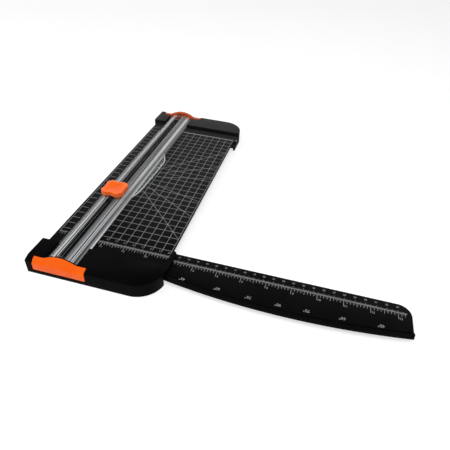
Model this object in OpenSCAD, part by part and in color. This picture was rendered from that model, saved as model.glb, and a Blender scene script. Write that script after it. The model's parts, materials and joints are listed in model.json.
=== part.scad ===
// Rotary paper trimmer for A4 sheets.
// Black moulded base with a printed cutting deck, a clear guide rail that lifts on
// a hinge at the far end, an orange press-down cutter head with a rotary blade, and
// a ruler arm that swings out from under the deck.
//
// Layout: X runs across the deck (the ruler arm points to +X), Y along the cut,
// Z up. Everything is laid out from the ruler's zero: the cut line, the first row
// of the printed grid and the deck's top surface.

/* [Base] */
// Width across the end blocks
base_width = 137.5; // [128:0.5:146]
// Length over both end blocks
base_length = 367.4; // [350:0.1:380]
// Clear deck between the end blocks, room for an A4 sheet
paper_opening = 302.6; // [298:0.1:308]
// Height of the deck's top surface above the table
deck_height = 13; // [12:0.25:16]
// Height of the end blocks above the deck
block_rise = 6; // [5:0.25:8]
// Radius of the two right-hand corners
corner_radius = 28; // [20:0.5:28]
// Moulded wall and deck thickness
wall = 2.4; // [2:0.1:2.6]
// Distance from the blocks' left face to the cut line
cut_inset = 32; // [31.5:0.5:34]
// Distance from the near face to the first grid row
row_inset = 60.6; // [58:0.1:62]
// Width of the slope along the near block's outer edge
near_slope = 6.6; // [5:0.1:7]
// Drop of that slope
near_slope_drop = 2.6; // [2:0.1:4]
// How far the rubber feet stand out below the rim
foot_stand_out = 1; // [0.5:0.1:1.5]

/* [Guide rail] */
// Width of the clear rail
rail_width = 33.4; // [33:0.2:34.4]
// Height of the rail's crown above the deck
rail_crown = 10.3; // [9.8:0.1:10.8]
// Outside radius of the rail's arch
rail_arch_radius = 27; // [26.5:0.5:29]
// Thickness of the rail's arch
rail_wall = 1.8; // [1.6:0.1:2]
// Gap left for paper under the closed rail
paper_gap = 0.5; // [0.4:0.05:0.8]
// Width of the slot the cutter runs in
slot_width = 9; // [8.8:0.1:9.2]
// Width of one end cap
cap_width = 57; // [54:0.5:57]
// Outside radius of the arch over the end caps
cap_arch_radius = 30.7; // [29:0.1:32]

/* [Cutter] */
// Where the cutter stands along the rail, from the first grid row
cutter_y = 66.7; // [0:0.1:240]
// Diameter of the rotary blade
blade_diameter = 12; // [11.6:0.1:12]
// Thickness of the rotary blade
blade_thickness = 0.3; // [0.2:0.05:0.35]
// Blade clearance above the deck while the head is up
blade_lift = 1.4; // [1.2:0.1:1.4]
// Length of the cutter head along the rail
head_length = 27; // [27:0.25:29]
// Width of the cutter head across the rail
head_width = 27.5; // [27:0.25:29]

/* [Ruler arm] */
// Reach of the arm's tip from the cut line
ruler_reach = 344; // [330:1:350]
// Thickness of the arm
ruler_thickness = 2.4; // [2:0.1:2.6]
// Depth of the arm's top below the deck's top
ruler_drop = 3.3; // [3.2:0.05:3.4]
// Pivot position from the cut line
pivot_x = 73; // [71:0.5:75]
// Pivot position from the first grid row
pivot_y = -10; // [-12:0.5:-8]
// Radius of the moulded pivot
pivot_radius = 5; // [4:0.5:6]

/* [Hidden] */
$fn = 96;

left_x = -cut_inset;
right_x = base_width - cut_inset;
near_y = -row_inset;
far_y = base_length - row_inset;
mid_y = (near_y + far_y) / 2;
block_depth = (base_length - paper_opening) / 2;
near_in = near_y + block_depth;      // deck side of the near block
far_in = far_y - block_depth;        // deck side of the far block
deck_left = left_x + 2.5;
deck_right = right_x - 4.2;
floor_z = -deck_height;
rim_z = floor_z + foot_stand_out;
under_z = -wall;                     // underside of the deck
cut_x = -(left_x + ruler_reach) / 2; // puts the origin under the middle of it all
row_y = -mid_y;

rail_cx = 3.6;                       // middle of the rail, caps and head
rail_l = rail_cx - rail_width / 2;
rail_r = rail_cx + rail_width / 2;
arch_cz = rail_crown - rail_arch_radius;
arch_in = rail_arch_radius - rail_wall;
slot_l = -1.2;
slot_r = slot_l + slot_width;
chan_l = rail_cx - 8.6;              // channel the shoe runs in
chan_r = rail_cx + 6.4;
strip_half = 3;                      // half width of the cutting strip
foot_floor = 1.5;                    // floor of the rail's two clamping feet
end_bridge = 3.2;                    // solid ends of the rail, the shoe's stops
cap_l = rail_cx - 0.1 - cap_width / 2;
cap_r = cap_l + cap_width;
far_r = cap_r + 2;                   // the far cap is a little longer
cap_drop = -7.5;
cap_crown = rail_crown + 0.7;
far_crown = rail_crown + 1.6;
near_cap_y = near_y + near_slope;    // inner faces of the end caps
far_cap_y = far_y - 8;
rod_y = far_y - 4;
rod_z = 2;
rod_r = 1.5;

blade_r = blade_diameter / 2;
axle_z = blade_lift + blade_r;
press = 1.8;                         // travel of the head
saddle_top = 12.4;
ceiling = 15.9;                      // inside top of the head cover
head_cx = rail_cx - 0.1;
spring_x = [-4.3, 10.9];

ruler_top = -ruler_drop;
ruler_bot = ruler_top - ruler_thickness;
arc_r = 731.4;                       // the arm's curved edge
arc_cx = 223.5;
arc_cy = 685.4;

module on_sheet() translate([cut_x, row_y, deck_height]) children();
module along_y(y0, y1) translate([0, y1, 0]) rotate([90, 0, 0]) linear_extrude(y1 - y0) children();
module along_x(x0, x1) translate([x0, 0, 0]) rotate([90, 0, 90]) linear_extrude(x1 - x0) children();
module block(x0, x1, y0, y1, z0, z1) translate([x0, y0, z0]) cube([x1 - x0, y1 - y0, z1 - z0]);
module flip_y() translate([0, 2 * mid_y, 0]) mirror([0, 1, 0]) children();
module rod_x(r, x0, x1, y, z) translate([x0, y, z]) rotate([0, 90, 0]) cylinder(h = x1 - x0, r = r);
module at_cutter() translate([0, cutter_y, 0]) children();

// ---------- base ----------
// outline of an end block, set in by an amount, its free right corner rounded
module block_plan(inset, left_inset, to_y) difference() {
  translate([left_x + left_inset, near_y + inset])
    square([base_width - inset - left_inset, to_y - near_y - inset]);
  difference() {
    translate([right_x - corner_radius, near_y - 1]) square([corner_radius + 1, corner_radius + 1]);
    translate([right_x - corner_radius, near_y + corner_radius]) circle(r = corner_radius - inset);
  }
}

module near_block() hull() {
  translate([0, 0, rim_z]) linear_extrude(block_rise - near_slope_drop - rim_z)
    block_plan(0, 0, near_in);
  translate([0, 0, block_rise - 0.2]) linear_extrude(0.2)
    block_plan(near_slope, 0, near_in);
}

module far_block() flip_y() translate([0, 0, rim_z]) linear_extrude(block_rise - rim_z)
  block_plan(0, 0, near_in);

// the hollow under the deck, open on the right where the ruler arm swings
module under_hollow() translate([0, 0, rim_z - 1]) linear_extrude(under_z - rim_z + 1) {
  difference() {
    block_plan(wall, wall, near_in - wall);
    translate([cap_l - wall - 0.4, near_y]) square([cap_width + 2 * wall + 0.8, near_slope - 0.7]);
  }
  translate([deck_left + wall, near_in - wall - 1])
    square([right_x - wall - deck_left - wall, far_in - near_in + 2 * wall + 2]);
  translate([60, -37]) square([right_x - 60 + 4, 252 + 37]);
  flip_y() block_plan(wall, wall, near_in - wall);
}

// lighter pockets under the raised tops of the end blocks
module block_pockets() {
  zt = block_rise - 2 * wall + 0.3;
  translate([0, 0, under_z - 0.3]) linear_extrude(zt - under_z + 0.3) {
    for (x = [[left_x + wall + 0.5, rail_l - 3.6], [rail_r + 3.6, far_r + 6]],
        y = [[near_cap_y + 2.8, near_in - wall - 0.5], [far_in + wall + 0.5, rod_y - 11 - wall]])
      translate([x[0], y[0]]) square([x[1] - x[0], y[1] - y[0]]);
    intersection() {
      union() {
        block_plan(wall + 0.5, wall + 0.5, near_in - wall - 0.5);
        flip_y() block_plan(wall + 0.5, wall + 0.5, near_in - wall - 0.5);
      }
      translate([far_r + 5, near_y]) square([base_width, base_length]);
    }
  }
}

module base_ribs() {
  for (x = [-14, 22]) block(x - 0.8, x + 0.8, near_in - wall - 18, far_in + 8, rim_z + 1, under_z + 0.1);
  block(46, 47.6, near_in - wall - 20, far_in + wall + 20, rim_z + 1, under_z + 0.1);
  block(59.6, 61.2, 22, 256, rim_z + 3, under_z + 0.1);
  for (y = [-40, 10, 66, 122, 178, 234, 284])
    block(deck_left + 1, 46.5, y - 0.8, y + 0.8, rim_z + 1, under_z + 0.1);
  for (y = [66, 122, 178, 234]) block(46, 60.4, y - 0.8, y + 0.8, rim_z + 3, under_z + 0.1);
}

foot_at = [[-24, -45], [80, -48], [-23.6, 279], [86, 287]];
foot_r = 6;

module base_shell() color("#17181a") on_sheet() difference() {
  union() {
    difference() {
      union() {
        near_block();
        far_block();
        block(deck_left, deck_right, near_in - 1, far_in + 1, rim_z, 0);
        // wider deck edge where the ruler arm comes out
        translate([0, 0, under_z]) linear_extrude(wall) polygon([[deck_right - 1, near_in - 1],
          [right_x, near_in - 1], [right_x, -1], [deck_right, 2.5], [deck_right - 1, 2.5]]);
      }
      under_hollow();
      block_pockets();
    }
    base_ribs();
    // seat of the cutting strip
    block(-7, 7, near_cap_y + 2, rod_y - 9, under_z - 1.8, under_z + 0.1);
    // low lip that takes the folded arm's tip
    block(right_x - wall - 0.2, right_x, 252, far_in + 1.4, rim_z, ruler_bot - 1.1);
    // shelf under the folded arm's tip
    block(88, right_x - wall, 252, far_in - wall + 0.1, ruler_bot - 2.9, ruler_bot - 1.1);
    // feet
    for (p = foot_at) translate([p[0], p[1], rim_z]) cylinder(h = block_rise - 2 * wall + 0.4 - rim_z, r = foot_r + 1.6);
    // bearings of the hinge rod
    block(left_x + wall - 0.1, cap_l - 0.6, rod_y - 4.5, far_y - wall + 0.1, under_z - 0.1, block_rise - 1);
    block(far_r + 0.6, far_r + 6, rod_y - 4.5, far_y - wall + 0.1, under_z - 0.1, block_rise - 1);
    // moulded pivot of the ruler arm, with a collar that spaces it off the deck
    translate([pivot_x, pivot_y, ruler_top + 0.05]) cylinder(h = ruler_drop - wall, r = pivot_radius + 3);
    translate([pivot_x, pivot_y, ruler_bot - 0.2]) cylinder(h = ruler_thickness + 0.4, r = pivot_radius);
  }
  // the rail's trough through both blocks
  block(rail_l - 1.2, rail_r + 1.2, near_cap_y + 0.3, near_in + 0.1, 0, block_rise + 1);
  block(rail_l - 1.2, rail_r + 1.2, far_in - 0.1, far_y - 12, 0, block_rise + 1);
  // seat of the near end cap
  block(cap_l - 0.4, cap_r + 0.4, near_y - 1, near_y + 2.9, cap_drop - 0.4, block_rise + 1);
  block(cap_l - 0.4, cap_r + 0.4, near_y - 1, near_cap_y + 0.4, 0, block_rise + 1);
  // pocket the far end cap turns in
  rod_x(6, cap_l - 0.6, far_r + 0.6, rod_y, rod_z);
  intersection() {
    rod_x(10.7, cap_l - 0.6, far_r + 0.6, rod_y, rod_z);
    block(cap_l - 1, far_r + 1, rod_y - 12, far_y + 1, floor_z, -3);
  }
  block(cap_l - 0.6, far_r + 0.6, rod_y, far_y + 1, -5, block_rise + 1);
  block(cap_l - 0.6, far_r + 0.6, far_cap_y - 0.5, far_y + 1, rod_z, block_rise + 1);
  block(rail_l - 1.2, rail_r + 1.2, far_y - 13, far_y + 1, 0, block_rise + 1);
  // bore of the hinge rod, open at the left face
  rod_x(rod_r + 0.02, left_x - 1, far_r + 4.6, rod_y, rod_z);
  // groove of the cutting strip
  block(-strip_half - 0.05, strip_half + 0.05, -44.1, 288.1, -1.65, 0.1);
  // foot seats
  for (p = foot_at) translate([p[0], p[1], rim_z - 0.1]) cylinder(h = 0.9, r = foot_r + 0.05);
  // thread of the ruler pivot screw
  translate([pivot_x, pivot_y, ruler_bot - 0.3]) cylinder(h = 4.9, r = 1.5);
}

module cutting_strip() color("#2b2c2e") on_sheet() difference() {
  block(-strip_half, strip_half, -44, 288, -1.6, 0);
  block(-0.5, 0.5, -45, 289, -0.9, 0.1);
}

module foot(i) color("#0d0d0e") on_sheet() translate([foot_at[i][0], foot_at[i][1], floor_z])
  cylinder(h = foot_stand_out + 0.75, r = foot_r);
module foot_near_left() foot(0);
module foot_near_right() foot(1);
module foot_far_left() foot(2);
module foot_far_right() foot(3);

module ruler_pivot_washer() color("#b9bcc0") on_sheet() translate([pivot_x, pivot_y, ruler_bot - 0.9])
  difference() {
    cylinder(h = 0.7, r = pivot_radius + 3);
    translate([0, 0, -1]) cylinder(h = 3, r = 1.6);
  }

module ruler_pivot_screw() color("#9da0a4") on_sheet() translate([pivot_x, pivot_y, ruler_bot - 0.9])
  difference() {
    union() {
      translate([0, 0, -1.9]) cylinder(h = 1.9, r = 3.4);
      cylinder(h = 5, r = 1.45);
    }
    for (a = [0, 90]) rotate([0, 0, a]) translate([-2, -0.4, -2]) cube([4, 0.8, 1.1]);
  }

module hinge_rod() color("#9da0a4") on_sheet()
  rod_x(rod_r, left_x + 0.4, far_r + 4.4, rod_y, rod_z);

// ---------- ruler arm ----------
module arm_plan() difference() {
  intersection() {
    translate([arc_cx, arc_cy]) circle(r = arc_r);
    translate([pivot_x - 30, -60]) square([ruler_reach - 1 - pivot_x + 30, 61]);
  }
  difference() {
    translate([ruler_reach - 14, -12]) square([20, 20]);
    translate([ruler_reach - 14, -12]) circle(r = 13);
  }
  difference() {
    translate([pivot_x - 40, -60]) square([40, 70]);
    translate([pivot_x, pivot_y]) circle(r = 21);
  }
}

module arm_band(r_out, r_in) intersection() {
  difference() {
    translate([arc_cx, arc_cy]) circle(r = r_out);
    translate([arc_cx, arc_cy]) circle(r = r_in);
  }
  translate([108, -60]) square([ruler_reach - 112, 60]);
}

module ruler_arm() color("#1b1c1e") on_sheet() difference() {
  union() {
    translate([0, 0, ruler_bot]) linear_extrude(ruler_thickness) arm_plan();
    // raised bead along the curved edge and round its end
    translate([0, 0, ruler_bot]) linear_extrude(ruler_thickness + 0.55) {
      arm_band(arc_r, arc_r - 4);
      translate([ruler_reach - 4.2, -32.9]) circle(r = 3.9);
    }
  }
  // shallow groove inside the bead
  translate([0, 0, ruler_top - 0.7]) linear_extrude(2) arm_band(arc_r - 3.9, arc_r - 5.6);
  translate([pivot_x, pivot_y, ruler_bot - 1]) cylinder(h = ruler_thickness + 2, r = pivot_radius + 0.06);
}

// ---------- guide rail ----------
module arch_disc(r) translate([rail_cx, arch_cz]) circle(r = r);
function arch_z(x) = arch_cz + sqrt(pow(rail_arch_radius, 2) - pow(x - rail_cx, 2));
foot_cavities = [[rail_l + rail_wall, chan_l - 1.6], [chan_r + 1.6, rail_r - rail_wall]];

module rail_profile() difference() {
  intersection() {
    arch_disc(rail_arch_radius);
    translate([rail_l, paper_gap]) square([rail_width, 12]);
  }
  // two hollow clamping feet
  intersection() {
    arch_disc(arch_in);
    for (c = foot_cavities) translate([c[0], paper_gap + foot_floor]) square([c[1] - c[0], 12]);
  }
  // fine grip ridges on the right shoulder and a deeper line either side of the crown
  for (x = [9.6, 10.8, 12, 13.2]) translate([x, arch_z(x) - 0.22]) square([0.5, 2]);
  for (x = [-6.9, 15.1]) translate([x - 0.3, arch_z(x) - 0.5]) square([0.6, 2]);
}

module guide_rail() color("#dfe6ea", 0.4) on_sheet() difference() {
  along_y(near_cap_y + 0.2, far_cap_y - 0.2) rail_profile();
  // the channel the shoe runs in and the slot above it, closed at both ends
  along_y(near_cap_y + 0.2 + end_bridge, far_cap_y - 0.2 - end_bridge) union() {
    intersection() {
      arch_disc(arch_in);
      translate([chan_l, -1]) square([chan_r - chan_l, 14]);
    }
    translate([slot_l, 5]) square([slot_width, 8]);
  }
  for (x = cap_screw_x, y = cap_screw_y) translate([x, y, -1]) {
    cylinder(h = 4, r = 1.1);
    translate([0, 0, 1 + paper_gap - 0.01]) cylinder(h = 0.9, r1 = 2, r2 = 1.1);
  }
}

cap_screw_x = [rail_cx - 12.4, rail_cx + 12.4];
cap_screw_y = [near_cap_y + 7, far_cap_y - 7];

module cap_screws() color("#9da0a4") on_sheet() for (x = cap_screw_x, y = cap_screw_y)
  translate([x, y, paper_gap + 0.05]) {
    cylinder(h = 0.85, r1 = 1.9, r2 = 1.05);
    cylinder(h = 3.4, r = 1);
  }

// tongues that plug into the rail's hollow feet
module cap_tongues(y0, y1) along_y(y0, y1) intersection() {
  arch_disc(arch_in - 0.2);
  for (c = foot_cavities) translate([c[0] + 0.15, 2.3]) square([c[1] - c[0] - 0.3, 12]);
}

module cap_arch(crown) intersection() {
  translate([rail_cx, crown - cap_arch_radius]) circle(r = cap_arch_radius);
  translate([rail_cx - 19.4, block_rise - 3.8]) square([38.8, 12]);
}

module near_end_cap() color("#ff691e") on_sheet() difference() {
  union() {
    along_x(cap_l, cap_r) polygon([[near_cap_y, 0.25], [near_cap_y, block_rise],
      [near_y, block_rise - near_slope_drop], [near_y, cap_drop], [near_y + 2.5, cap_drop],
      [near_y + 2.5, 0.25]]);
    hull() {
      along_y(near_cap_y - 0.3, near_cap_y) cap_arch(cap_crown);
      along_y(near_y + 0.1, near_y + 0.4) intersection() {
        translate([rail_cx, block_rise - near_slope_drop + 1 - 120]) circle(r = 120);
        translate([rail_cx - 16, 1]) square([32, 6]);
      }
    }
    cap_tongues(near_cap_y - 0.1, near_cap_y + 12);
  }
  for (x = cap_screw_x) translate([x, cap_screw_y[0], 0]) cylinder(h = 4, r = 1.02);
}

module far_end_cap() color("#ff691e") on_sheet() difference() {
  union() {
    along_x(cap_l, far_r) polygon([[far_cap_y, -1.5], [far_cap_y, block_rise], [far_y, block_rise],
      [far_y, cap_drop], [far_y - 2.7, cap_drop], [far_y - 2.7, -1.5]]);
    along_y(far_cap_y + 0.05, far_y - 0.05) cap_arch(far_crown);
    cap_tongues(far_cap_y - 12, far_cap_y + 0.1);
  }
  rod_x(rod_r + 0.05, cap_l - 1, far_r + 1, rod_y, rod_z);
  for (x = cap_screw_x) translate([x, cap_screw_y[1], 0]) cylinder(h = 4, r = 1.02);
}

// clear guard welded to the rail's right side where a hand holds the paper down
guard_edge = [[0, 70], [1.7, 72.5], [3.8, 77.5], [5.2, 82], [6, 87], [6.6, 95], [7, 105], [7.4, 118],
  [7.8, 132], [8.2, 146], [8.5, 156], [8.4, 161], [7.7, 165.5], [6.1, 169.5], [1.7, 178.5], [0, 182]];
module guard_plan(shrink) polygon([for (q = guard_edge)
  [rail_r + 0.02 + max(q[0] - shrink, 0), q[1] + (q[1] < mid_y ? 1 : -1) * shrink]]);

module finger_guard() color("#dfe6ea", 0.4) on_sheet() union() {
  translate([0, 0, 0.9]) linear_extrude(1.3) guard_plan(0);
  translate([0, 0, 1]) linear_extrude(2.4) {
    difference() {
      guard_plan(0);
      guard_plan(1.1);
    }
    translate([rail_r + 0.02, 76.5]) square([1.2, 97]);
  }
}

// ---------- cutter ----------
post_y = 8.7;
screw_x = (slot_l + slot_r) / 2;
lobe_r = 8;                          // radius of the head's four lobes
skin = 1.2;                          // wall of the head cover

// head outline, set in by an amount: four rounded lobes with drawn-in sides
module head_plan(e) {
  w = head_width / 2 - e;
  l = head_length / 2 - e;
  r = lobe_r - e;
  difference() {
    union() {
      square([2 * (w - r), 2 * l], center = true);
      square([2 * w, 2 * (l - r)], center = true);
      for (i = [-1, 1], j = [-1, 1]) translate([i * (w - r), j * (l - r)]) circle(r = r);
    }
    translate([1.3 - 16 - head_width / 2, 0]) circle(r = 16 + e);
    translate([head_width / 2 - 0.9 + 40, 0]) circle(r = 40 + e);
    for (j = [-1, 1]) translate([0, j * (head_length / 2 - 1.5 + 10)]) circle(r = 10 + e);
  }
}

module slider_shoe() color("#26272a") on_sheet() at_cutter() difference() {
  union() {
    block(chan_l + 0.5, chan_r - 0.5, -11, 11, 2.2, 6.6);
    for (s = [-1, 1]) block(slot_l + 0.6, slot_r - 0.6, s * post_y - 1.6, s * post_y + 1.6, 6.5, 10.6);
  }
  block(slot_l, slot_r, -6.4, 6.4, 0, 8);
  for (s = [-1, 1]) translate([screw_x, s * post_y, 5]) cylinder(h = 7, r = 1.02);
}

module slider_saddle() color("#ef5a16") on_sheet() at_cutter() difference() {
  intersection() {
    block(-6.5, 13.5, -12, 12, 6, saddle_top);
    translate([head_cx, 0, 0]) linear_extrude(20) head_plan(skin + 0.4);
  }
  along_y(-20, 20) arch_disc(rail_arch_radius + 0.35);
  for (s = [-1, 1]) block(slot_l + 0.3, slot_r - 0.3, s * post_y - 1.9, s * post_y + 1.9, 6, 10.65);
  block(slot_l, 0.5, -6.6, 6.6, 5, 13);
  block(0.3, slot_r, -6.1, 6.1, 5, 13);
  for (s = [-1, 1]) translate([screw_x, s * post_y, 5]) cylinder(h = 9, r = 1.15);
  for (s = [-1, 1]) translate([screw_x, s * post_y, 11.4]) cylinder(h = 2, r = 2);
  for (x = spring_x) translate([x, 0, 10.9]) cylinder(h = 3, r = 2.5);
}

module saddle_screws() color("#9da0a4") on_sheet() at_cutter() for (s = [-1, 1])
  translate([screw_x, s * post_y, 0]) difference() {
    union() {
      translate([0, 0, 11.42]) cylinder(h = 0.95, r = 1.8);
      translate([0, 0, 5.2]) cylinder(h = 6.3, r = 1);
    }
    for (a = [0, 90]) rotate([0, 0, a]) translate([-1.1, -0.25, 11.9]) cube([2.2, 0.5, 1]);
  }

module head_cover() color("#ff691e") on_sheet() at_cutter() difference() {
  translate([head_cx, 0, 0]) union() {
    translate([0, 0, 15.6]) linear_extrude(1.7, scale = 0.87) head_plan(0);
    translate([0, 0, 13.9]) linear_extrude(1.75) head_plan(0);
    translate([0, 0, 13.95]) mirror([0, 0, 1]) linear_extrude(2.75, scale = 0.97) head_plan(0);
  }
  translate([head_cx, 0, 17.3 - 0.9 + 40]) sphere(r = 40);
  translate([head_cx, 0, 10]) linear_extrude(ceiling - 10) head_plan(skin);
  // room over the rail's crown for the press
  along_y(-20, 20) translate([0, press + 0.4]) arch_disc(rail_arch_radius);
}

module coil(x) translate([x, 0, 10.95]) {
  difference() { cylinder(h = 0.5, r = 2.1); translate([0, 0, -1]) cylinder(h = 3, r = 1.6); }
  translate([0, 0, 4.4]) difference() { cylinder(h = 0.5, r = 2.1); translate([0, 0, -1]) cylinder(h = 3, r = 1.6); }
  translate([0, 0, 0.25]) linear_extrude(4.4, twist = -1080, slices = 54, $fn = 8) polygon([
    for (a = [0:40:120]) 2.08 * [cos(a), sin(a)], for (a = [120:-40:0]) 1.62 * [cos(a), sin(a)]]);
}
module return_spring_left() color("#b9bcc0") on_sheet() at_cutter() coil(spring_x[0]);
module return_spring_right() color("#b9bcc0") on_sheet() at_cutter() coil(spring_x[1]);

module blade_holder() color("#e9e9e6") on_sheet() at_cutter() difference() {
  union() {
    along_x(0.6, 6) polygon([[-5.6, ceiling], [-5.6, 10.3], [-6.7, 10.3], [-6.7, 9.1], [-5.6, 8.2],
      [-3, 4.9], [3, 4.9], [5.6, 8.2], [6.7, 9.1], [6.7, 10.3], [5.6, 10.3], [5.6, ceiling]]);
    rod_x(2.4, 0.25, 1, 0, axle_z);
  }
  rod_x(rod_r + 0.02, -1, 5.7, 0, axle_z);
}

module blade_axle() color("#9da0a4") on_sheet() at_cutter() {
  rod_x(2.4, -0.85, -0.25, 0, axle_z);
  rod_x(rod_r, -0.3, 5.6, 0, axle_z);
}

module rotary_blade() color("#cfd2d6") on_sheet() at_cutter() translate([0, 0, axle_z]) rotate([0, 90, 0])
  difference() {
    union() {
      cylinder(h = blade_thickness / 2, r1 = blade_r, r2 = blade_r - 0.6);
      mirror([0, 0, 1]) cylinder(h = blade_thickness / 2, r1 = blade_r, r2 = blade_r - 0.6);
    }
    translate([0, 0, -1]) cylinder(h = 2, r = rod_r + 0.05);
  }

base_shell();
cutting_strip();
foot_near_left();
foot_near_right();
foot_far_left();
foot_far_right();
ruler_pivot_screw();
ruler_pivot_washer();
hinge_rod();
ruler_arm();
guide_rail();
near_end_cap();
far_end_cap();
cap_screws();
finger_guard();
slider_shoe();
slider_saddle();
saddle_screws();
head_cover();
return_spring_left();
return_spring_right();
blade_holder();
blade_axle();
rotary_blade();
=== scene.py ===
"""Looks of the rotary paper trimmer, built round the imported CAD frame."""
import json
import math

import bmesh
import bpy
from mathutils import Matrix, Vector


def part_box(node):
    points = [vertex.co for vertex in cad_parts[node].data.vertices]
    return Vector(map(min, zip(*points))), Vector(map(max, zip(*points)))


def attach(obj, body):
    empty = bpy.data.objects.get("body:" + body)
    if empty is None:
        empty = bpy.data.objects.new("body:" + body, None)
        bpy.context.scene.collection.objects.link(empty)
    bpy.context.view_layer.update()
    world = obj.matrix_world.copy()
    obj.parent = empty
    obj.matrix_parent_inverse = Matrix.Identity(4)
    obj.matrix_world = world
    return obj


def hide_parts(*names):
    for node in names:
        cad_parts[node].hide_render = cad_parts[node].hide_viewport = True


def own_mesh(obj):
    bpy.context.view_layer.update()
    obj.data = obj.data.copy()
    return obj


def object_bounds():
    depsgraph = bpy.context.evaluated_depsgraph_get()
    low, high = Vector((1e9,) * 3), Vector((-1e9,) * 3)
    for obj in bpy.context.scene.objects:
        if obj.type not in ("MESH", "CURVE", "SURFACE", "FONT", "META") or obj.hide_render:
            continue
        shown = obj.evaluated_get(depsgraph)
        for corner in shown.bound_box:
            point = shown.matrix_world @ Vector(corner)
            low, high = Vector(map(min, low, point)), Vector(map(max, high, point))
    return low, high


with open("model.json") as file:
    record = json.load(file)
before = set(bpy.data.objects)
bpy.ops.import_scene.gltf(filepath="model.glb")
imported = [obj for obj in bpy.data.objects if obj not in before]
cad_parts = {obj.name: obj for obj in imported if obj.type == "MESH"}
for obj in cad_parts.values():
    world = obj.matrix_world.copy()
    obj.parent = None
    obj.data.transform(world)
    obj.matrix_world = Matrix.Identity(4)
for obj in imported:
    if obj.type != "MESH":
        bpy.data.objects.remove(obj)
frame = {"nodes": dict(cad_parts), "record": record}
cad_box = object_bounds()
NODES = frame["nodes"]
MM = 0.001

# The deck's own layout, in millimetres: X from the cut line, Y from the first grid row and Z from
# the deck's top. ROW_INSET is from the near block's front face to the first grid row.
ROW_INSET = 60.6
blade_lo, blade_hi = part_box("rotary_blade")
base_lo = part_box("base_shell")[0]
ORIGIN = Vector(((blade_lo.x + blade_hi.x) / 2, base_lo.y + ROW_INSET * MM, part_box("cutting_strip")[1].z))


def place(x, y, z=0.0):
    """A point of the deck's layout, in the frame."""
    return ORIGIN + Vector((x, y, z)) * MM


def layout(point):
    """A point of the frame, in the deck's own layout."""
    return (point - ORIGIN) / MM


# ---------- materials ----------
def set_stops(node, stops):
    """Gives a Color Ramp node its stops: (position, grey value or colour)."""
    elements = node.color_ramp.elements
    while len(elements) < len(stops):
        elements.new(0.5)
    for element, (position, value) in zip(elements, stops):
        element.position = position
        element.color = (*value, 1) if isinstance(value, tuple) else (value, value, value, 1)


class Nodes:
    """A short way to build a material's node tree."""

    def __init__(self, name):
        self.mat = bpy.data.materials.new(name)
        self.mat.use_nodes = True
        self.tree = self.mat.node_tree
        self.tree.nodes.clear()
        self.out = self.add("ShaderNodeOutputMaterial")
        self.shader = self.add("ShaderNodeBsdfPrincipled")
        self.link(self.shader.outputs[0], self.out.inputs[0])
        self.coord = self.add("ShaderNodeTexCoord").outputs["Object"]

    def add(self, kind, **props):
        node = self.tree.nodes.new(kind)
        for key, value in props.items():
            setattr(node, key, value)
        return node

    def link(self, a, b):
        self.tree.links.new(a, b)

    def set(self, **values):
        for key, value in values.items():
            self.shader.inputs[key.replace("_", " ")].default_value = value

    def noise(self, scale, detail=3.0, stretch=(1, 1, 1), rough=0.55):
        """A noise value over the surface; a small stretch on an axis draws it out along that axis."""
        mapping = self.add("ShaderNodeMapping")
        mapping.inputs["Scale"].default_value = stretch
        self.link(self.coord, mapping.inputs[0])
        tex = self.add("ShaderNodeTexNoise")
        tex.inputs["Scale"].default_value = scale
        tex.inputs["Detail"].default_value = detail
        tex.inputs["Roughness"].default_value = rough
        self.link(mapping.outputs[0], tex.inputs["Vector"])
        return tex.outputs["Fac"]

    def ramp(self, fac, stops):
        """Turns a value into a tone or a colour through stops."""
        node = self.add("ShaderNodeValToRGB")
        set_stops(node, stops)
        self.link(fac, node.inputs[0])
        return node.outputs[0]

    def range(self, fac, low, high):
        """Spreads the middle of a value's range, 0.3 to 0.7, from low to high."""
        node = self.add("ShaderNodeMapRange")
        node.inputs["From Min"].default_value = 0.3
        node.inputs["From Max"].default_value = 0.7
        node.inputs["To Min"].default_value = low
        node.inputs["To Max"].default_value = high
        self.link(fac, node.inputs[0])
        return node.outputs[0]

    def bump(self, height, strength, distance):
        node = self.add("ShaderNodeBump")
        node.inputs["Strength"].default_value = strength
        node.inputs["Distance"].default_value = distance
        self.link(height, node.inputs["Height"])
        self.link(node.outputs[0], self.shader.inputs["Normal"])

    def feed(self, socket, value):
        self.link(value, self.shader.inputs[socket])

    def multiply(self, a, b):
        """The product of two values, kept between 0 and 1."""
        node = self.add("ShaderNodeMath", operation="MULTIPLY", use_clamp=True)
        self.link(a, node.inputs[0])
        self.link(b, node.inputs[1])
        return node.outputs[0]

    def mix(self, factor, a, b):
        """A colour between a and b, each a socket or a plain colour."""
        node = self.add("ShaderNodeMix", data_type="RGBA")
        self.link(factor, node.inputs[0])
        for socket, value in zip((node.inputs[6], node.inputs[7]), (a, b)):
            if isinstance(value, tuple):
                socket.default_value = (*value, 1)
            else:
                self.link(value, socket)
        return node.outputs[2]

    def banded(self, axis, stops):
        """A value that changes along one axis: stops are (layout position in mm, value)."""
        split = self.add("ShaderNodeSeparateXYZ")
        self.link(self.coord, split.inputs[0])
        zero = getattr(ORIGIN, axis.lower())
        places = [zero + position * MM for position, _ in stops]
        low, high = places[0], places[-1]
        scaled = self.add("ShaderNodeMapRange")
        scaled.inputs["From Min"].default_value = low
        scaled.inputs["From Max"].default_value = high
        self.link(split.outputs[axis], scaled.inputs[0])
        values = [value for _, value in stops]
        return self.ramp(scaled.outputs[0], [((p - low) / (high - low), v) for p, v in zip(places, values)])

    def normal_z(self):
        """How far the surface faces up: 1 on top faces, 0 on upright walls, -1 underneath."""
        split = self.add("ShaderNodeSeparateXYZ")
        self.link(self.add("ShaderNodeNewGeometry").outputs["Normal"], split.inputs[0])
        return split.outputs["Z"]

    def front_only(self, behind):
        """1 on the side of the surface that faces out, and the given share on its inner side."""
        return self.range(self.add("ShaderNodeNewGeometry").outputs["Backfacing"], 1.0, behind)


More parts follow.
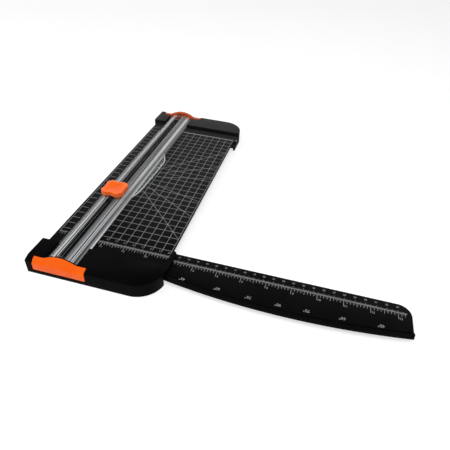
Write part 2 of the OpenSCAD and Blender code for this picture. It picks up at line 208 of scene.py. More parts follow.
def moulded(name, dark, light, rough, **extra):
    """Moulded plastic: a slight colour drift, a fine spark-eroded grain and smoother and duller patches."""
    m = Nodes(name)
    m.feed("Base Color", m.ramp(m.noise(28, 4), [(0.35, dark), (0.65, light)]))
    m.feed("Roughness", m.range(m.noise(60, 5), rough[0], rough[1]))
    m.bump(m.noise(900, 2), 0.35, 0.00004)
    m.set(**extra)
    return m.mat


# How much dust and a painted sheen lighten the black moulding's top faces along the trimmer: Y in mm, value.
BLACK_DUST_AND_SHEEN = [(-62, 0.0), (0, 0.05), (90, 0.34), (245, 0.36), (264, 0.85), (310, 0.7)]
DUST_AND_SHEEN_TONE = (0.034, 0.034, 0.0344)


def black(name):
    """Black moulding: deep at the near end, and lighter towards the far end from dust and a painted sheen."""
    m = Nodes(name)
    body = m.ramp(m.noise(28, 4), [(0.35, (0.0018, 0.0018, 0.002)), (0.65, (0.003, 0.003, 0.0032))])
    # top faces take the most dust and painted sheen
    facing_up = m.ramp(m.normal_z(), [(0.3, 0.25), (0.9, 1.0)])
    m.feed("Base Color", m.mix(m.multiply(m.banded("Y", BLACK_DUST_AND_SHEEN), facing_up), body, DUST_AND_SHEEN_TONE))
    m.feed("Roughness", m.range(m.noise(60, 5), 0.38, 0.5))
    m.bump(m.noise(900, 2), 0.35, 0.00004)
    m.set(Specular_IOR_Level=0.018)
    return m.mat


# colour of the painted highlight on orange walls
HIGHLIGHT_ORANGE = (1.0, 0.36, 0.18)


def orange(name, dark=(0.9, 0.108, 0.004), light=(0.97, 0.138, 0.008), pale=((-12, 0.0), (20, 0.0))):
    """Glossy orange moulding; pale says how much painted highlight pales its walls: height in mm, value."""
    m = Nodes(name)
    body = m.ramp(m.noise(28, 4), [(0.35, dark), (0.65, light)])
    m.feed("Base Color", m.mix(m.banded("Z", pale), body, HIGHLIGHT_ORANGE))
    m.feed("Roughness", m.range(m.noise(60, 5), 0.25, 0.36))
    m.bump(m.noise(700, 2), 0.35, 0.00002)
    m.set(Specular_IOR_Level=0.1)
    return m.mat


def metal(name, dark, light, rough, stretch, **extra):
    """Metal with fine drawn or ground marks along one direction."""
    m = Nodes(name)
    marks = m.noise(1500, 3, stretch)
    m.feed("Base Color", m.ramp(m.noise(90, 3), [(0.35, dark), (0.65, light)]))
    m.feed("Roughness", m.range(marks, rough[0], rough[1]))
    m.bump(marks, 0.25, 0.00002)
    m.set(Metallic=1.0, **extra)
    return m.mat


# The extruded rail across its width, X in mm: its tone at its near end and at its far end, milky ribs and
# painted reflections between dark clear flutes, and how much the plastic covers what lies behind it. All are
# tuned.
RAIL_NEAR = [(-13.2, 0.01), (-10.8, 0.03), (-9.6, 0.05), (-8.6, 0.12), (-7.4, 0.06), (-6.5, 0.04),
             (-5.3, 0.2), (-4.7, 0.34), (-4.1, 0.85), (-3.3, 0.92), (-2.7, 0.45), (-2.2, 0.14),
             (-1.5, 0.06), (-1.15, 0.01), (7.7, 0.01), (8.6, 0.09), (9.6, 0.22), (11.6, 0.24),
             (12.1, 0.44), (12.8, 0.42), (13.3, 0.2), (13.9, 0.01), (14.5, 0.02), (15.0, 0.2),
             (15.9, 0.27), (16.5, 0.62), (17.0, 0.6), (17.5, 0.12), (18.6, 0.03), (19.2, 0.26),
             (20.1, 0.34), (20.4, 0.9)]
RAIL_FAR = [(-13.2, 0.04), (-11.6, 0.07), (-10.2, 0.14), (-8.6, 0.16), (-7.4, 0.2), (-6.7, 0.36),
            (-5.3, 0.58), (-4.6, 0.56), (-3.6, 0.34), (-2.8, 0.12), (-2.0, 0.1), (-1.5, 0.14),
            (-1.15, 0.01), (7.7, 0.01), (8.4, 0.13), (11.8, 0.13), (12.6, 0.08), (13.1, 0.008),
            (13.8, 0.01), (14.3, 0.14), (14.8, 0.6), (16.0, 0.68), (17.6, 0.7), (18.1, 0.22),
            (18.6, 0.05), (19.2, 0.06), (19.7, 0.16), (20.1, 0.16), (20.4, 0.25)]
RAIL_COVER = [(-13.2, 0.25), (-11.0, 0.35), (-8.6, 0.5), (-6.6, 0.5), (-5.4, 0.85), (-1.3, 0.88),
              (7.8, 0.88), (20.2, 0.88), (20.4, 1.0)]
# Rows between which the rail's tone passes from near to far.
RAIL_FADE = [(-40, 0.0), (190, 1.0)]
# Emission that stands for light piped along the rail's upright walls: Z in mm, brightness.
RAIL_GLOW = [(0.0, 0.5), (1.2, 1.6), (3.2, 1.9), (4.0, 0.1), (5.5, 0.0), (6.2, 3.4), (8.3, 3.6),
             (9.2, 1.0), (10.0, 0.3), (14, 0.2)]
# The cap's orange shows through the rail where it enters the far cap: Y in mm, cover kept.
RAIL_INTO_CAP = [(270, 1.0), (284, 0.95), (294, 0.5), (303, 0.3)]
# The guard's thin plate hardly shows and its raised rim does: Z in mm, cover and clearness.
GUARD_COVER = [(0.8, 0.16), (2.15, 0.2), (2.4, 0.62), (3.5, 0.7)]
GUARD_CLEAR = [(0.8, 0.75), (2.15, 0.75), (2.4, 0.3), (3.5, 0.2)]


def clear_plastic(name):
    """Clear polystyrene; returns the node helper and the fine draw lines along the cut."""
    m = Nodes(name)
    lines = m.noise(900, 2, (1, 0.0015, 0.3))
    m.feed("Roughness", m.range(lines, 0.05, 0.1))
    m.set(IOR=1.5)
    return m, lines


def rail_plastic(name):
    """The rail's plastic: milky ribs between dark clear flutes with painted reflections on them, paler along
    its far half.
    """
    m, lines = clear_plastic(name)
    away = m.banded("Y", RAIL_FADE)
    # the tone carries milky bands and painted reflections together
    tone = m.mix(away, m.banded("X", RAIL_NEAR), m.banded("X", RAIL_FAR))
    drawn = m.add("ShaderNodeVectorMath", operation="MULTIPLY")
    m.link(tone, drawn.inputs[0])
    m.link(m.ramp(lines, [(0.3, (0.86, 0.87, 0.88)), (0.7, (1.08, 1.09, 1.11))]), drawn.inputs[1])
    m.feed("Base Color", drawn.outputs[0])
    m.feed("Transmission Weight", m.range(lines, 0.3, 0.2))
    inside = m.multiply(m.front_only(0.12), m.banded("Y", RAIL_INTO_CAP))
    m.feed("Alpha", m.multiply(m.banded("X", RAIL_COVER), inside))
    # upright walls glow a little, most at the near end
    slope = m.add("ShaderNodeMath", operation="ABSOLUTE")
    m.link(m.normal_z(), slope.inputs[0])
    upright = m.ramp(slope.outputs[0], [(0.2, 1.0), (0.3, 0.0)])
    glow = m.ramp(away, [(0.0, 0.3), (0.35, 0.18), (1.0, 0.05)])
    m.set(Emission_Color=(0.93, 0.96, 1, 1))
    m.feed("Emission Strength", m.multiply(m.multiply(upright, glow), m.banded("Z", RAIL_GLOW)))
    return m.mat


def guard_plastic(name):
    """The finger guard's plastic: a nearly clear plate with a paler rim."""
    m, lines = clear_plastic(name)
    m.feed("Base Color", m.ramp(lines, [(0.3, (0.78, 0.8, 0.82)), (0.7, (0.94, 0.95, 0.97))]))
    m.feed("Transmission Weight", m.banded("Z", GUARD_CLEAR))
    m.feed("Alpha", m.multiply(m.banded("Z", GUARD_COVER), m.front_only(0.1)))
    return m.mat


def rubber(name):
    """Matt black rubber."""
    m = Nodes(name)
    m.feed("Base Color", m.ramp(m.noise(120, 4), [(0.3, 0.012), (0.7, 0.028)]))
    m.feed("Roughness", m.range(m.noise(200, 4), 0.75, 0.92))
    m.bump(m.noise(1600, 3), 0.5, 0.00005)
    m.set(Specular_IOR_Level=0.3)
    return m.mat


def ink(name, dark, light):
    """Screen-printed ink, slightly uneven."""
    m = Nodes(name)
    m.feed("Base Color", m.ramp(m.noise(700, 3), [(0.3, dark), (0.7, light)]))
    m.feed("Roughness", m.range(m.noise(150, 3), 0.5, 0.7))
    return m.mat


MAT = {
    "black_plastic": black("black_plastic"),
    "strip_plastic": moulded("strip_plastic", (0.003, 0.003, 0.0032), (0.005, 0.005, 0.0053), (0.4, 0.5),
                             Specular_IOR_Level=0.15),
    "orange_plastic": orange("orange_plastic"),
    "clear_plastic": rail_plastic("clear_plastic"),
    "shoe_plastic": moulded("shoe_plastic", (0.02, 0.02, 0.022), (0.035, 0.035, 0.038), (0.45, 0.6)),
    "white_plastic": moulded("white_plastic", (0.72, 0.72, 0.69), (0.82, 0.82, 0.79), (0.35, 0.48)),
    "foot_rubber": rubber("foot_rubber"),
    "steel": metal("steel", (0.5, 0.51, 0.52), (0.66, 0.67, 0.68), (0.22, 0.38), (0.05, 1, 1)),
    "spring_steel": metal("spring_steel", (0.6, 0.61, 0.62), (0.74, 0.75, 0.76), (0.18, 0.3), (1, 1, 0.2)),
    "blade_steel": metal("blade_steel", (0.68, 0.69, 0.7), (0.8, 0.81, 0.82), (0.1, 0.22), (1, 1, 1)),
}
INK = ink("print_ink", (0.2, 0.203, 0.205), (0.3, 0.303, 0.306))
SLOTS = {row["node"]: row["material_slot"] for row in frame["record"]["subparts"]}

for name, node in NODES.items():
    node.data.materials.clear()
    node.data.materials.append(MAT[SLOTS[name]])


# ---------- mesh helpers ----------
def new_object(name, mesh, material):
    obj = bpy.data.objects.new(name, mesh)
    bpy.context.scene.collection.objects.link(obj)
    mesh.materials.clear()
    mesh.materials.append(material)
    return obj


def from_bmesh(name, bm, material, smooth_angle=None):
    bmesh.ops.recalc_face_normals(bm, faces=bm.faces)
    mesh = bpy.data.meshes.new(name)
    bm.to_mesh(mesh)
    bm.free()
    obj = new_object(name, mesh, material)
    if smooth_angle is not None:
        mesh.shade_smooth()
        mesh.set_sharp_from_angle(angle=math.radians(smooth_angle))
    return obj


def lattice(bm, rects, z0, z1):
    """Fills upright rectangles (x0, x1, y0, y1) that may cross, as one closed slab without overlaps."""
    xs = sorted({round(v, 4) for r in rects for v in r[:2]})
    ys = sorted({round(v, 4) for r in rects for v in r[2:]})
    x_at = {v: i for i, v in enumerate(xs)}
    y_at = {v: i for i, v in enumerate(ys)}
    cells = set()
    for r in rects:
        x0, x1, y0, y1 = (round(v, 4) for v in r)
        cells |= {(i, j) for i in range(x_at[x0], x_at[x1]) for j in range(y_at[y0], y_at[y1])}
    corner = {}

    def vert(i, j, top):
        key = (i, j, top)
        if key not in corner:
            corner[key] = bm.verts.new(place(xs[i], ys[j], z1 if top else z0))
        return corner[key]

    for i, j in cells:
        ring = [(i, j), (i + 1, j), (i + 1, j + 1), (i, j + 1)]
        bm.faces.new([vert(*q, True) for q in ring])
        bm.faces.new([vert(*q, False) for q in reversed(ring)])
        for k, other in enumerate([(i, j - 1), (i + 1, j), (i, j + 1), (i - 1, j)]):
            if other not in cells:
                a, b = ring[k], ring[(k + 1) % 4]
                bm.faces.new([vert(*a, False), vert(*b, False), vert(*b, True), vert(*a, True)])


def bar(bm, a, b, width, z0, z1):
    """A straight printed line between two layout points."""
    a, b = Vector(a), Vector(b)
    side = (b - a).normalized().orthogonal() * width / 2
    ring = [a + side, b + side, b - side, a - side]
    low = [bm.verts.new(place(*q, z0)) for q in ring]
    high = [bm.verts.new(place(*q, z1)) for q in ring]
    bm.faces.new(high)
    bm.faces.new(low[::-1])
    for k in range(4):
        bm.faces.new([low[k], low[(k + 1) % 4], high[(k + 1) % 4], high[k]])


glyph_cache = {}


def glyphs(text, size):
    """A flat closed mesh of plain numerals, centred on its origin, in millimetres."""
    key = (text, size)
    if key not in glyph_cache:
        curve = bpy.data.curves.new("numeral", "FONT")
        curve.body = text
        curve.size = size
        curve.align_x = "CENTER"
        curve.align_y = "CENTER"
        curve.extrude = 0.5
        curve.resolution_u = 2
        curve.offset = 0.02 * size
        obj = bpy.data.objects.new("numeral", curve)
        bpy.context.scene.collection.objects.link(obj)
        graph = bpy.context.evaluated_depsgraph_get()
        glyph_cache[key] = bpy.data.meshes.new_from_object(obj.evaluated_get(graph))
        bpy.data.objects.remove(obj)
        bpy.data.curves.remove(curve)
    return glyph_cache[key]


def stamp(bm, text, size, x, y, z0, z1, turn=0.0):
    """Prints a numeral at a layout point, turned by some degrees."""
    mesh = glyphs(text, size)
    spin = Matrix.Rotation(math.radians(turn), 3, "Z")
    first = len(bm.verts)
    bm.from_mesh(mesh)
    bm.verts.ensure_lookup_table()
    for v in bm.verts[first:]:
        p = spin @ Vector((v.co.x, v.co.y, 0))
        v.co = place(x + p.x, y + p.y, z1 if v.co.z > 0 else z0)


# ---------- print ----------
LINE, THIN_LINE = 0.5, 0.26
INK_SINK, INK_RISE = 0.03, 0.03
INCH = 25.4
GRID_LEFT, GRID_RIGHT, GRID_END = 20, 100, 260
STRIP_LINES_X = 2.9
LADDER_LEFT, LADDER_RIGHT = -27.2, -18
DECK_RULE_Y, ARM_RULE_Y = -9, -10
FAN_Y, FAN_LEFT, FAN_RIGHT = 120, 27.0, 99.5
# Lengths of a scale's ticks: every how many steps, mm. A step is 1 mm, or a sixteenth of an inch.
MM_TICKS = ((10, 3.2), (5, 2.4), (1, 1.7))
INCH_TICKS = ((16, 8.0), (8, 5.0), (2, 3.8), (1, 1.9))
# The arm's angle marks: degrees, X and Y in mm.
ARM_ANGLES = [(45, 122, -31), (60, 158.5, -33), (75, 190, -34.5), (90, 219, -35), (75, 246, -34),
              (60, 279, -33), (45, 314, -31)]
ARM_TOP = -3.3


def tick_length(k, ticks):
    """The length of a scale's k-th tick."""
    return next(length for every, length in ticks if k % every == 0)


def rule(x0, x1, y):
    """Rectangles of a double scale: millimetre ticks above the line and sixteenths of an inch below it."""
    rects = [(x0, x1, y - 0.35, y + 0.35)]
    for mm in range(math.ceil(x0), math.floor(x1) + 1):
        rects.append((mm - THIN_LINE / 2, mm + THIN_LINE / 2, y, y + tick_length(mm, MM_TICKS)))
    for k in range(math.ceil(x0 / INCH * 16), math.floor(x1 / INCH * 16) + 1):
        x = k * INCH / 16
        half = THIN_LINE if k % 2 == 0 else THIN_LINE / 2
        rects.append((x - half, x + half, y - tick_length(k, INCH_TICKS), y))
    return rects


def grid():
    """Rectangles of the deck's grid of 10 mm squares, and the broad line that closes it."""
    left, right = GRID_LEFT - LINE / 2, GRID_RIGHT + LINE / 2
    rects = [(x - LINE / 2, x + LINE / 2, -4.5, GRID_END) for x in range(GRID_LEFT, GRID_RIGHT + 1, 10)]
    rects += [(left, right, y - LINE / 2, y + LINE / 2) for y in range(0, GRID_END, 10)]
    rects.append((left, right, 259.3, 261.3))
    return rects


def ladder():
    """Rectangles of the scale left of the rail, with the short ticks at its near end."""
    rects = [(LADDER_LEFT, LADDER_RIGHT, y - LINE / 2, y + LINE / 2) for y in range(0, GRID_END + 1, 10)]
    rects.append((LADDER_LEFT, LADDER_LEFT + LINE, -6, GRID_END))
    rects.append((LADDER_LEFT, LADDER_RIGHT, -6.4, -5.7))
    for k in range(5):
        x = -26 + 1.6 * k
        rects.append((x - 0.15, x + 0.15, -8.5 if k % 2 else -10.5, -6))
    return rects


def numerals(bm, values, step, size, shift, y, z0, z1):
    """Prints a row of numerals, each at its value times the step and moved sideways by the shift."""
    for value in values:
        stamp(bm, str(value), size, value * step + shift, y, z0, z1)


def deck_print():
    """The deck's grid, scales, angle lines and numerals, as one piece."""
    bm = bmesh.new()
    z0, z1 = -INK_SINK, INK_RISE
    rects = grid() + rule(21, 100.4, DECK_RULE_Y) + ladder()
    rects += [(x - 0.32, x + 0.32, -43.5, 287.5) for x in (-STRIP_LINES_X, STRIP_LINES_X)]
    lattice(bm, rects, z0, z1)
    for angle in (-45, -30, -15, 15, 30, 45):
        run = math.tan(math.radians(angle))
        bar(bm, (FAN_LEFT, FAN_Y + run * FAN_LEFT), (FAN_RIGHT, FAN_Y + run * FAN_RIGHT), LINE, z0, z1 + 0.01)
    numerals(bm, range(3, 11), 10, 2.6, -2.2, -3.6, z0, z1)
    numerals(bm, range(1, 4), INCH, 3.2, 2.0, -16, z0, z1)
    return from_bmesh("deck_print", bm, INK)


def arm_print():
    """The arm's double scale, its numerals and its angle marks, as one piece."""
    bm = bmesh.new()
    z0, z1 = ARM_TOP - INK_SINK, ARM_TOP + INK_RISE
    lattice(bm, rule(104.5, 338, ARM_RULE_Y), z0, z1)
    numerals(bm, range(11, 34), 10, 2.8, -0.2, -3.2, z0, z1)
    numerals(bm, range(5, 14), INCH, 3.4, 2.2, -17.2, z0, z1)
    for degrees, x, y in ARM_ANGLES:
        stamp(bm, f"{degrees}°", 4.6, x, y, z0, z1, 180)
    return from_bmesh("arm_print", bm, INK)


# ---------- pieces that stand for CAD nodes ----------
def refined(node, width, chosen=lambda p: True, material=None):
    """A CAD node's shape with its chosen convex edges rounded and its curved faces shaded smooth."""
    bm = bmesh.new()
    bm.from_mesh(NODES[node].data)
    bmesh.ops.remove_doubles(bm, verts=bm.verts, dist=2e-6)
    bmesh.ops.dissolve_limit(bm, angle_limit=math.radians(0.6), verts=bm.verts, edges=bm.edges)
    edges = [e for e in bm.edges if e.is_convex and e.calc_face_angle(0) > math.radians(28)
             and all(chosen(layout(v.co)) for v in e.verts)]
    bmesh.ops.bevel(bm, geom=edges, offset=width * MM, segments=2, profile=0.6,
                    affect="EDGES", clamp_overlap=True)
    piece = from_bmesh(node + "_skin", bm, material or MAT[SLOTS[node]], 26)
    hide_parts(node)
    return piece


def lofted(name, rings, slot, smooth_angle=34, material=None):
    """A closed solid through rings of layout points; its first and last rings become flat ends."""
    bm = bmesh.new()
    rows = [[bm.verts.new(place(*p)) for p in ring] for ring in rings]
    for a, b in zip(rows, rows[1:]):
        for k in range(len(a)):
            n = (k + 1) % len(a)
            bm.faces.new([a[k], a[n], b[n], b[k]])
    bm.faces.new(rows[0][::-1])
    bm.faces.new(rows[-1])
    piece = from_bmesh(name, bm, material or MAT[slot], smooth_angle)
    return piece


def spread(low, high, count):
    """Evenly spaced values from low to high, both included."""
    return [low + (high - low) * k / (count - 1) for k in range(count)]


def smooth(t):
    """Eases from 0 to 1."""
    t = min(max(t, 0.0), 1.0)
    return t * t * (3 - 2 * t)


RAIL_CX, ARCH_R, RAIL_CROWN = 3.6, 27.0, 10.3
CAP_L, CAP_R, CAP_ARCH_R, CAP_DROP = -25.0, 32.0, 30.7, -7.5
CAP_BLEND = 0.7
NEAR_CROWN, NEAR_SHOULDER = 10.75, 5.55
FAR_CROWN, FAR_SHOULDER, FAR_DEPTH = 11.6, 5.5, 8.0
# The near cap's front is fuller and its lip higher where the arch rises from SWELL_FROM on.
SWELL_FROM, SWELL_OVER, LIP_LOW, LIP_RISE = 6.2, 4.0, 2.0, 2.0


def over_arch(x, crown, shoulder):
    """Height of the caps' arch standing on a flat shoulder, with a soft fillet where they meet."""
    dx = min(abs(x - RAIL_CX), CAP_ARCH_R * 0.95)
    arch = crown - CAP_ARCH_R + math.sqrt(CAP_ARCH_R ** 2 - dx ** 2)
    gap = (arch - shoulder) / CAP_BLEND
    return shoulder + CAP_BLEND * math.log1p(math.exp(gap)) if gap < 8 else arch


def across_cap(ring, right, count):
    """Rings of a cap from its left end to its right end, with small chamfers at both ends."""
    rings = [ring(CAP_L, 0.4), ring(CAP_L + 0.12, 0.12)]
    rings += [ring(x, 0.0) for x in spread(CAP_L + 0.4, right - 0.4, count)]
    return rings + [ring(right - 0.12, 0.12), ring(right, 0.4)]


def near_cap():
    """One blended bulge from the arch over the rail down to the block's slope, with a skirt below."""
    inner, outer = layout(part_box("guide_rail")[0]).y - 0.2, layout(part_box("near_end_cap")[0]).y
    turns = 12

    def ring(x, e):
        """The cap's section at x, drawn in by e."""
        top = over_arch(x, NEAR_CROWN, NEAR_SHOULDER)
        swell = smooth((top - SWELL_FROM) / SWELL_OVER)
        lip = LIP_LOW + LIP_RISE * swell
        points = [(x, inner - e, 0.25 + e), (x, inner - e, top - e - 0.25), (x, inner - e - 0.25, top - e)]
        for k in range(1, turns + 1):
            t = k / turns
            straight, round_over = t, 1 - math.sqrt(1 - (0.96 * t) ** 2)
            drop = straight + (round_over / 0.72 - straight) * (0.55 + 0.2 * swell)
            y = inner - 0.25 + (outer + 1.2 - inner + 0.25) * t
            points.append((x, y + e * (t - 0.5), top + (lip - top) * drop - e))
        points += [(x, outer + 0.62 + e, lip - 0.35 - e), (x, outer + 0.2 + e, lip - 1.0 - e),
                   (x, outer + e, lip - 2.0 - e), (x, outer + e, CAP_DROP + 0.6 + e),
                   (x, outer + 0.3 + e, CAP_DROP + e),
                   (x, outer + 2.2 - e, CAP_DROP + e), (x, outer + 2.5 - e, CAP_DROP + 0.3 + e),
                   (x, outer + 2.5 - e, 0.25 + e)]
        return points

    return lofted("near_cap_skin", across_cap(ring, CAP_R, 73), "orange_plastic", 75)


def cap_seal():
    """A thin black strip where the near cap's arch meets the rail: a painted shadow for the dark gap there.
    """
    inner = layout(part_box("guide_rail")[0]).y - 0.1

    def ring(x):
        top = over_arch(x, NEAR_CROWN, NEAR_SHOULDER) + 0.2
        return [(x, inner, top - 0.75), (x, inner, top - 0.08), (x, inner + 0.08, top),
                (x, inner + 0.72, top - 0.04), (x, inner + 0.8, top - 0.12), (x, inner + 0.8, top - 0.75)]

    return lofted("cap_seal", [ring(x) for x in spread(CAP_L + 3.5, CAP_R - 9.5, 41)], "black_plastic", 50)


def far_cap():
    """The far cap's arched bridge and its skirt behind the block."""
    high = layout(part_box("far_end_cap")[1])
    inner, outer = high.y - FAR_DEPTH, high.y

    def ring(x, e):
        """The cap's section at x, drawn in by e."""
        top = over_arch(x, FAR_CROWN, FAR_SHOULDER)
        bridge = [(inner + e, -1.5 + e), (inner + e, top - e - 0.7), (inner + 0.25 + e, top - e - 0.25),
                  (inner + 0.8 + e, top - e), (outer - 1.5, top - e), (outer - 0.5, top - 0.4 - e)]
        skirt = [(outer - e, top - 1.5 - e), (outer - e, CAP_DROP + 0.4 + e),
                 (outer - 0.4 - e, CAP_DROP + e), (outer - 2.4 + e, CAP_DROP + e),
                 (outer - 2.7 + e, CAP_DROP + 0.3 + e), (outer - 2.7 + e, -1.5 + e)]
        return [(x, y, z) for y, z in bridge + skirt]

    # a darker copy of the orange: painted shade on the far cap, which is lit from behind
    shade = orange("orange_painted_shade", (0.44, 0.05, 0.002), (0.52, 0.062, 0.004))
    return lofted("far_cap_skin", across_cap(ring, high.x, 75), "orange_plastic", 50, shade)


HEAD_CX, HEAD_CY = 3.5, 66.7
HEAD_W, HEAD_L, LOBE_R, HEAD_SKIN = 27.5, 27.0, 8.0, 1.2
HEAD_BOTTOM, HEAD_WALL_MID, HEAD_WALL_TOP, HEAD_TOP, HEAD_CEILING = 11.2, 13.9, 15.6, 17.3, 15.9
HEAD_CLEARANCE = 2.2
DISH_DEPTH, DISH_REACH = 1.25, 0.9
# The scoops in the head's outline: radius in mm, and how deep each is drawn in.
LEFT_SCOOP, RIGHT_SCOOP, END_SCOOP = (16, 1.3), (40, 0.9), (10, 1.5)
# The head's rolled edge: share of the outline, drop from the top in mm.
HEAD_ROLL = [(0.997, 1.2), (0.988, 0.72), (0.973, 0.36), (0.955, 0.12), (0.935, 0.02), (0.89, 0.0),
             (0.84, 0.0)]
HEAD_DISH_RINGS = (0.79, 0.74, 0.68, 0.62, 0.55, 0.48, 0.4, 0.32, 0.24, 0.16, 0.08)
# How much painted highlight pales the head's walls and its top edge: height in mm, value.
HEAD_RIM_HIGHLIGHT = [(11.2, 0.3), (15.6, 0.35), (15.95, 0.0), (17.05, 0.0), (17.3, 0.2)]


def in_head_plan(x, y, inset=0.0):
    """Whether a point lies inside the head's outline: four rounded lobes with drawn-in sides."""
    half_w, half_l, r = HEAD_W / 2 - inset, HEAD_L / 2 - inset, LOBE_R - inset
    ax, ay = abs(x), abs(y)
    if ax > half_w or ay > half_l:
        return False
    lobe_x, lobe_y = half_w - r, half_l - r
    if ax > lobe_x and ay > lobe_y and math.hypot(ax - lobe_x, ay - lobe_y) > r:
        return False

    def clear_of(scoop, along, aside, half):
        radius, depth = scoop
        return math.hypot(aside, along - (half - depth + radius)) > radius + inset

    return (clear_of(LEFT_SCOOP, -x, y, HEAD_W / 2) and clear_of(RIGHT_SCOOP, x, y, HEAD_W / 2)
            and clear_of(END_SCOOP, ay, x, HEAD_L / 2))


def head_reach(angle, inset=0.0):
    """Distance from the head's centre to its outline in one direction, found by halving."""
    low, high = 2.0, 30.0
    for _ in range(40):
        mid = (low + high) / 2
        if in_head_plan(mid * math.cos(angle), mid * math.sin(angle), inset):
            low = mid
        else:
            high = mid
    return low


def head_foot(x):
    """Height of the head's lower edge, which clears the rail's arch."""
    arch = math.sqrt(ARCH_R ** 2 - (x + HEAD_CX - RAIL_CX) ** 2)
    return max(HEAD_BOTTOM, RAIL_CROWN - ARCH_R + HEAD_CLEARANCE + arch)


def head_top(x, y):
    """Height of the head's top, dished to take a fingertip."""
    across = math.hypot(x, y) / (head_reach(math.atan2(y, x)) * DISH_REACH)
    return HEAD_TOP - DISH_DEPTH * (1 - smooth(across)) if across < 1 else HEAD_TOP


def head_shell():
    """The cutter head: a thin shell with rolled lobes and a dished top, cut to clear the rail."""
    count = 120
    angles = [2 * math.pi * k / count for k in range(count)]
    outer = [head_reach(a) for a in angles]
    inner = [min(head_reach(a, HEAD_SKIN), o - HEAD_SKIN) for a, o in zip(angles, outer)]

    def ring(reach, scale, z):
        points = []
        for a, r in zip(angles, reach):
            x, y = r * scale * math.cos(a), r * scale * math.sin(a)
            points.append((HEAD_CX + x, HEAD_CY + y, z(x, y)))
        return points

    under = [ring(inner, 0.5, lambda x, y: HEAD_CEILING), ring(inner, 0.96, lambda x, y: HEAD_CEILING),
             ring(inner, 1.0, lambda x, y: HEAD_CEILING - 0.5), ring(inner, 1.0, lambda x, y: head_foot(x))]
    wall = [ring(outer, 0.985, lambda x, y: head_foot(x)), ring(outer, 1.0, lambda x, y: head_foot(x) + 0.2),
            ring(outer, 1.0, lambda x, y: max(HEAD_WALL_MID, head_foot(x) + 0.9)),
            ring(outer, 1.0, lambda x, y: HEAD_WALL_TOP)]
    roll = [ring(outer, scale, lambda x, y, d=drop: head_top(x, y) - d) for scale, drop in HEAD_ROLL]
    dish = [ring(outer, scale, head_top) for scale in HEAD_DISH_RINGS]
    # the head's own orange carries a painted highlight on its walls and top edge
    return lofted("head_skin", under + wall + roll + dish, "orange_plastic", 60,
                  orange("orange_head", pale=HEAD_RIM_HIGHLIGHT))


WIRE_R, COIL_TURNS, COIL_STEPS, WIRE_SIDES = 0.24, 5.5, 132, 8
COIL_CLOSED = 0.09  # share of the wire that lies flat at each end


def return_spring(node):
    """A coil spring of round wire with closed ends."""
    low, high = (layout(corner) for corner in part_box(node))
    centre, reach = (low + high) / 2, (high.x - low.x) / 2 - WIRE_R
    rings = []
    for k in range(COIL_STEPS + 1):
        t = k / COIL_STEPS
        turn = 2 * math.pi * COIL_TURNS * t
        z = low.z + WIRE_R + (high.z - low.z - 2 * WIRE_R) * smooth((t - COIL_CLOSED) / (1 - 2 * COIL_CLOSED))
        out = Vector((math.cos(turn), math.sin(turn), 0))
        middle = Vector((centre.x, centre.y, z)) + out * reach
        around = [2 * math.pi * i / WIRE_SIDES for i in range(WIRE_SIDES)]
        rings.append([tuple(middle + (out * math.cos(a) + Vector((0, 0, 1)) * math.sin(a)) * WIRE_R)
                      for a in around])
    spring = lofted(node + "_coil", rings, SLOTS[node], 60)
    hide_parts(node)
    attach(spring, "carriage")
    tuple(place(centre.x, centre.y, low.z))
    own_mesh(spring)


def deck_corner():
    """The deck's tongue that meets the far block's right wall."""
    x = layout(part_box("base_shell")[1]).x - 2.8
    bm = bmesh.new()
    bar(bm, (x, 257.5), (x, 274.6), 3.6, -1.6, -0.06)
    tongue = from_bmesh("deck_corner", bm, MAT["black_plastic"])
    return tongue


def dress_up():
    """Builds every piece and lets it ride on its body."""
    for piece, body in ((deck_print(), "base"), (arm_print(), "arm")):
        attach(piece, body)
    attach(refined("base_shell", 0.45, lambda p: p.z > -0.05 and abs(p.x) > 4), "base")
    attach(deck_corner(), "base")
    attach(refined("cutting_strip", 0.12, lambda p: p.z > -0.05), "base")
    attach(refined("ruler_arm", 0.3, lambda p: p.z > ARM_TOP - 0.05), "arm")
    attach(refined("guide_rail", 0.12), "rail")
    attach(refined("finger_guard", 0.25, material=guard_plastic("guard_plastic")), "rail")
    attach(cap_seal(), "rail")
    return_spring("return_spring_left")
    return_spring("return_spring_right")
    for piece, node, body in ((near_cap(), "near_end_cap", "rail"), (far_cap(), "far_end_cap", "rail"),
                              (head_shell(), "head_cover", "head")):
        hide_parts(node)
        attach(piece, body)


dress_up()


# ---------- stage ----------
FLOOR_HALF = 4.0
# The studio's walls by the height of a direction, from level at 0 to straight up at 1: pale low
# down and dark overhead.
WALLS = [(0.0, 0.85), (0.5, 1.0), (0.57, 0.85), (0.64, 0.25), (0.72, 0.03), (1.0, 0.02)]
WALL_LIGHT, NEAR_SHARE = 1.5, 0.2
BACKDROP = (0.96, 0.96, 0.96, 1)
LENS_MM, SENSOR_MM = 33.645, 36
CAMERA_AT, CAMERA_TURN = (0.0676, -0.4267, 0.3154), (50.905, -2.907, 15.067)


def stage_floor():
    """The plain pale floor that the feet rest on."""
    mesh = bpy.data.meshes.new("floor")
    corners = [(x * FLOOR_HALF, y * FLOOR_HALF, 0) for x, y in ((-1, -1), (1, -1), (1, 1), (-1, 1))]
    mesh.from_pydata(corners, [], [(0, 1, 2, 3)])
    m = Nodes("floor")
    m.feed("Base Color", m.ramp(m.noise(2, 2), [(0.3, 0.44), (0.7, 0.46)]))
    m.set(Roughness=0.9, Specular_IOR_Level=0.1, Emission_Color=(1, 1, 1, 1), Emission_Strength=0.66)
    floor = new_object("floor", mesh, m.mat)
    floor.location.z = cad_box[0].z


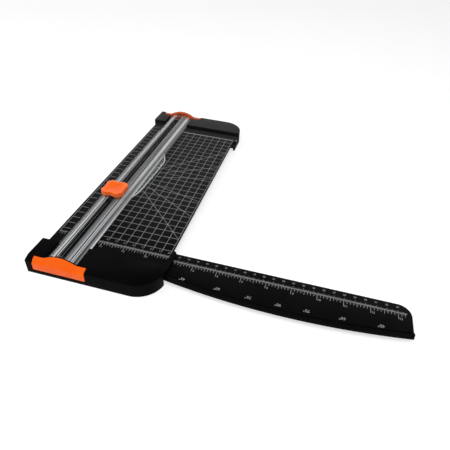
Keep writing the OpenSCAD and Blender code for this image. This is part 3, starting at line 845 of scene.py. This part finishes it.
def studio_walls():
    """Soft light from graded walls, dimmer on the near side. The camera sees a plain pale backdrop."""
    world = bpy.data.worlds.new("studio")
    bpy.context.scene.world = world
    world.use_nodes = True
    nodes, link = world.node_tree.nodes, world.node_tree.links.new
    back = nodes["Background"]
    split = nodes.new("ShaderNodeSeparateXYZ")
    link(nodes.new("ShaderNodeTexCoord").outputs["Generated"], split.inputs[0])
    height = nodes.new("ShaderNodeValToRGB")
    set_stops(height, WALLS)
    link(split.outputs["Z"], height.inputs[0])
    side = nodes.new("ShaderNodeMapRange")
    side.interpolation_type = "SMOOTHSTEP"
    for socket, value in (("From Min", 0.0), ("From Max", 0.55), ("To Min", NEAR_SHARE), ("To Max", 1.0)):
        side.inputs[socket].default_value = value
    link(split.outputs["Y"], side.inputs[0])
    both = nodes.new("ShaderNodeVectorMath")
    both.operation = "MULTIPLY"
    link(height.outputs[0], both.inputs[0])
    link(side.outputs[0], both.inputs[1])
    link(both.outputs[0], back.inputs[0])
    back.inputs["Strength"].default_value = WALL_LIGHT
    paper = nodes.new("ShaderNodeBackground")
    paper.inputs[0].default_value = BACKDROP
    seen = nodes.new("ShaderNodeMixShader")
    link(nodes.new("ShaderNodeLightPath").outputs["Is Camera Ray"], seen.inputs[0])
    link(back.outputs[0], seen.inputs[1])
    link(paper.outputs[0], seen.inputs[2])
    link(seen.outputs[0], nodes["World Output"].inputs[0])


def softbox(name, at, size, power):
    """A rectangular lamp aimed at the frame's origin."""
    light = bpy.data.lights.new(name, "AREA")
    light.shape = "RECTANGLE"
    light.size, light.size_y = size
    light.energy = power
    obj = bpy.data.objects.new(name, light)
    obj.location = at
    obj.rotation_mode = "QUATERNION"
    obj.rotation_quaternion = (-Vector(at)).to_track_quat("-Z", "Y")
    obj.visible_transmission = False  # the clear parts mirror the studio walls, not the lamps
    obj.visible_glossy = False
    bpy.context.scene.collection.objects.link(obj)


def photo_camera():
    """The camera, where the trimmer is seen from its near right-hand side and above."""
    cam = bpy.data.cameras.new("camera")
    cam.lens = LENS_MM
    cam.sensor_width = SENSOR_MM
    obj = bpy.data.objects.new("camera", cam)
    obj.location = CAMERA_AT
    obj.rotation_euler = [math.radians(a) for a in CAMERA_TURN]
    bpy.context.scene.collection.objects.link(obj)
    bpy.context.scene.camera = obj


stage_floor()
studio_walls()
softbox("key", (0.2, -0.9, 1.9), (1.2, 1.0), 27)
softbox("fill", (-1.1, -0.7, 1.5), (1.0, 1.0), 10)
photo_camera()
bpy.context.scene.view_settings.view_transform = "Standard"
